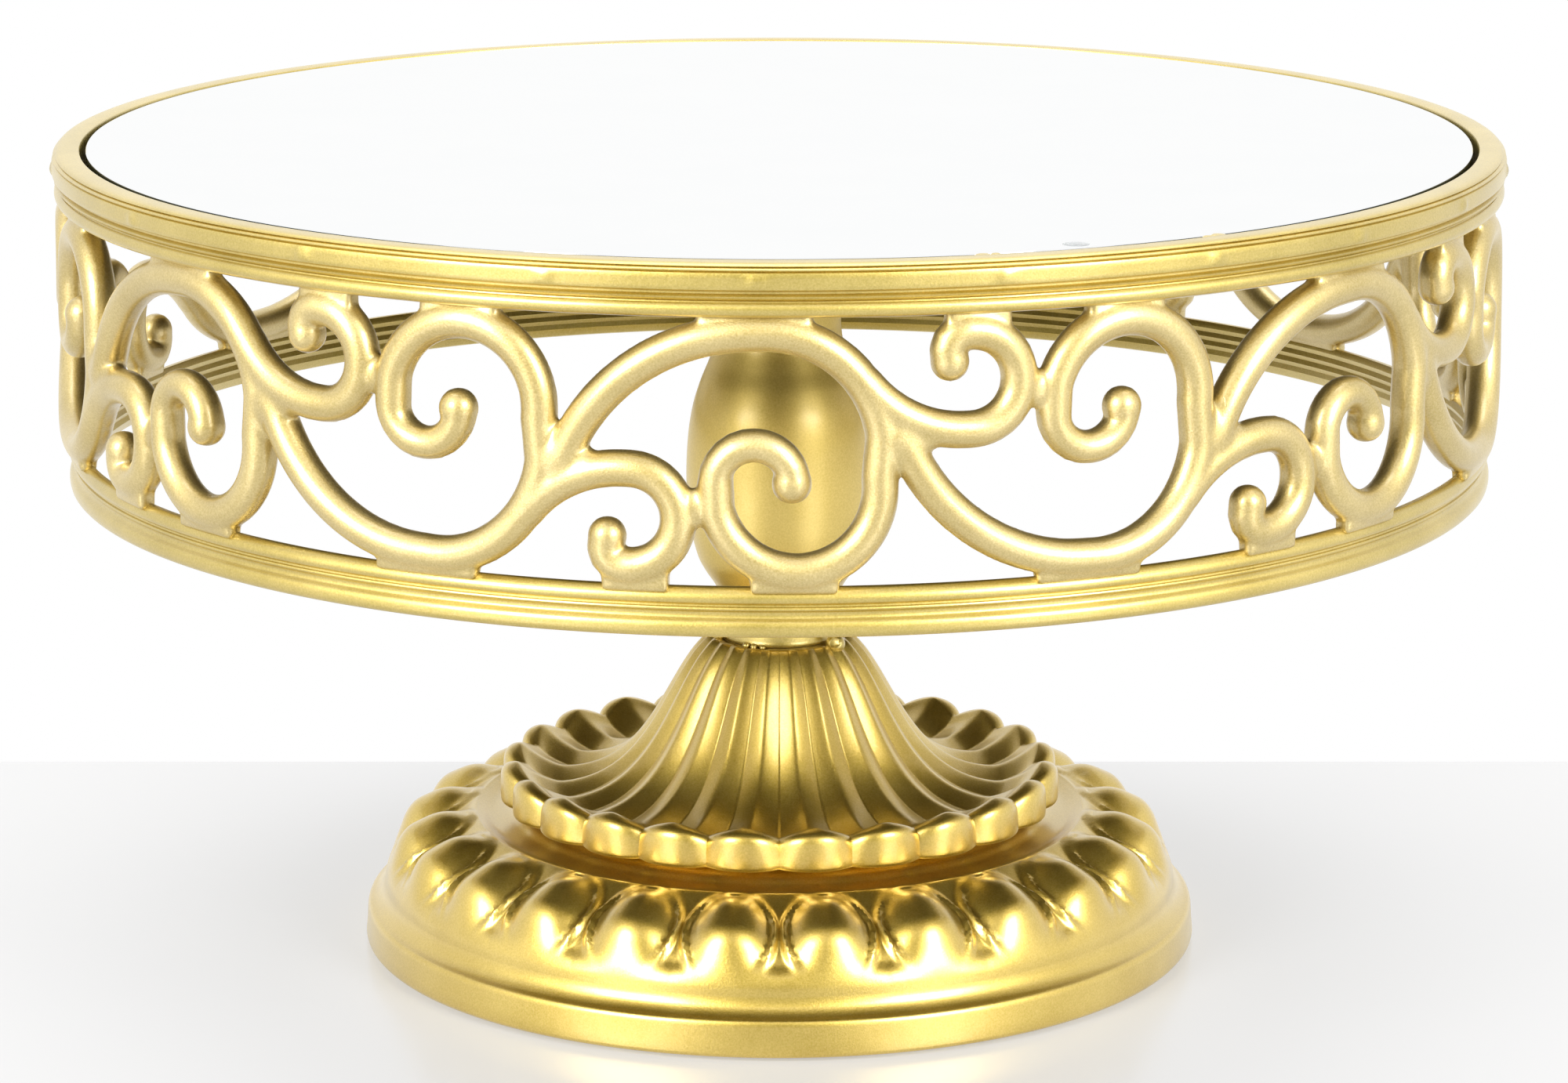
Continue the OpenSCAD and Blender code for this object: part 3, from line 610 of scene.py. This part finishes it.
def plainMaterial(name, dark, light, roughness, scale):
    material, tree, shader = newMaterial(name)
    where = addNode(tree, "ShaderNodeTexCoord")
    noise = addNode(tree, "ShaderNodeTexNoise", {"Scale": scale, "Detail": 4.0, "Roughness": 0.6})
    tint = addNode(tree, "ShaderNodeMix", data_type="RGBA")
    tint.inputs["A"].default_value = (*dark, 1)
    tint.inputs["B"].default_value = (*light, 1)
    shader.inputs["Roughness"].default_value = roughness
    join(tree,
         (where.outputs["Object"], noise.inputs["Vector"]), (noise.outputs["Fac"], tint.inputs["Factor"]),
         (tint.outputs["Result"], shader.inputs["Base Color"]))
    return material, tree, shader


silver, _, silverShader = plainMaterial("silverGlass", (0.93, 0.945, 0.945), (0.97, 0.975, 0.975), 0.03, 40)
silverShader.inputs["Metallic"].default_value = 1.0
glassEdge, _, _ = plainMaterial("glassEdge", (0.006, 0.010, 0.008), (0.02, 0.028, 0.022), 0.12, 300)
nylon, _, _ = plainMaterial("nylon", (0.72, 0.72, 0.70), (0.80, 0.80, 0.78), 0.45, 500)
felt, _, _ = plainMaterial("felt", (0.035, 0.035, 0.037), (0.07, 0.07, 0.07), 0.95, 2500)
clear, _, clearShader = plainMaterial("clearDot", (0.62, 0.65, 0.65), (0.70, 0.72, 0.72), 0.12, 200)
clearShader.inputs["Transmission Weight"].default_value = 0.55
clearShader.inputs["IOR"].default_value = 1.45


def paint(piece, *materials):
    piece.data.materials.clear()
    for material in materials:
        piece.data.materials.append(material)


for piece in (trayRim, lowerRing, stemCollar, weldBlob):
    paint(piece, goldPaint)
for piece in scrollPanels:
    paint(piece, goldScroll)
for piece in (baseTrumpet, baseDome):
    paint(piece, goldBase)
paint(stemBulb, goldSatin)
paint(clearDot, clear)
paint(mirrorPlate, silver, glassEdge)
for face in mirrorPlate.data.polygons:
    face.material_index = 0 if face.normal.z > 0.5 else 1
# The tray pan takes the near-black metal that carries the painted shade under the tray
nodePaint = {
    "tray_pan": panPaintedShade, "tray_hub": goldPaint, "mirror_pads": felt, "tray_washer": nylon,
    "stem_neck": goldSatin, "tie_rod": zincSteel, "top_nut": zincSteel, "base_bridge": zincSteel,
    "bottom_washer": zincSteel, "lock_washer": zincSteel, "bottom_nut": zincSteel,
}
for name, material in nodePaint.items():
    paint(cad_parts[name], material)
print("materials")

# Studio


def seenBackground(tree):  # 1 for rays from the camera, off gloss and through glass, 0 for all other light
    path = addNode(tree, "ShaderNodeLightPath")
    direct = addNode(tree, "ShaderNodeMath", operation="ADD")
    seen = addNode(tree, "ShaderNodeMath", operation="ADD", use_clamp=True)
    join(tree,
         (path.outputs["Is Camera Ray"], direct.inputs[0]),
         (path.outputs["Is Glossy Ray"], direct.inputs[1]),
         (direct.outputs[0], seen.inputs[0]), (path.outputs["Is Transmission Ray"], seen.inputs[1]))
    return seen.outputs[0]


table = {"back": 0.1304, "front": -1.6, "side": 1.8, "gloss": 0.35, "glow": 0.4}
pickOnly()
bpy.ops.mesh.primitive_grid_add(x_subdivisions=4, y_subdivisions=4, size=1)
tableTop = beginPiece("tableTop")
bpy.ops.transform.resize(value=(2 * table["side"], table["back"] - table["front"], 1))
bpy.ops.transform.translate(value=(0, (table["back"] + table["front"]) / 2, 0))
setMode("OBJECT")
tableMaterial, tableTree, tableShader = plainMaterial(
    "tablePaint", (0.33, 0.33, 0.333), (0.345, 0.345, 0.348), 0.2, 6)
tableShader.inputs["IOR"].default_value = 1.45
tableShader.inputs["Specular IOR Level"].default_value = table["gloss"]
tableShader.inputs["Emission Strength"].default_value = table["glow"]
join(tableTree, (seenBackground(tableTree), tableShader.inputs["Emission Color"]))
paint(tableTop, tableMaterial)

card = {"radius": 2.4, "half": 20, "low": 0.02, "high": 2.1}
pickOnly()
bpy.ops.mesh.primitive_grid_add(x_subdivisions=24, y_subdivisions=2, size=2)
darkCard = beginPiece("darkCard")
setMode("OBJECT")
for vertex in darkCard.data.vertices:
    height = card["low"] + (card["high"] - card["low"]) * (vertex.co.y + 1) / 2
    vertex.co = around(card["radius"] / mm, card["half"] * vertex.co.x, height / mm)
cardMaterial, _, _ = plainMaterial("cardCloth", (0.28, 0.27, 0.25), (0.33, 0.32, 0.30), 0.9, 3)
paint(darkCard, cardMaterial)
darkCard.visible_camera = False

lamps = (
    ("leftBox", (-2.0, -2.2, 1.45), (0, 0, 0.1), 1.35, 1.7, 94),
    ("rightBox", (2.0, -2.2, 1.45), (0, 0, 0.1), 1.35, 1.7, 88),
    ("topBox", (0, 0.5, 2.4), (0, 0, 0), 2.2, 1.8, 34),
)
for name, spot, aim, wide, high, power in lamps:
    bpy.ops.object.light_add(type="AREA", location=spot)
    lamp = bpy.context.object
    lamp.name = name
    lamp.rotation_euler = (Vector(aim) - Vector(spot)).to_track_quat("-Z", "Y").to_euler()
    lamp.data.shape = "RECTANGLE"
    lamp.data.size = wide
    lamp.data.size_y = high
    lamp.data.energy = power
    lamp.visible_camera = False

world = bpy.data.worlds.new("studio")
bpy.context.scene.world = world
world.use_nodes = True
worldTree = world.node_tree
background = worldTree.nodes["Background"]
background.inputs["Color"].default_value = (1, 1, 1, 1)
level = addNode(worldTree, "ShaderNodeMapRange", {"To Min": 0.45, "To Max": 1.0})
join(worldTree, (seenBackground(worldTree), level.inputs["Value"]),
     (level.outputs["Result"], background.inputs["Strength"]))

view = {"spot": (0.00099, -1.05538, 0.34015), "down": 13.511, "sensor": 36, "lens": 116.07}
bpy.ops.object.camera_add(location=view["spot"], rotation=(math.radians(90 - view["down"]), 0, 0))
camera = bpy.context.object
camera.data.sensor_width = view["sensor"]
camera.data.lens = view["lens"]
camera.data.clip_start = 0.01
bpy.context.scene.camera = camera
bpy.context.scene.view_settings.view_transform = "Standard"
print("studio")
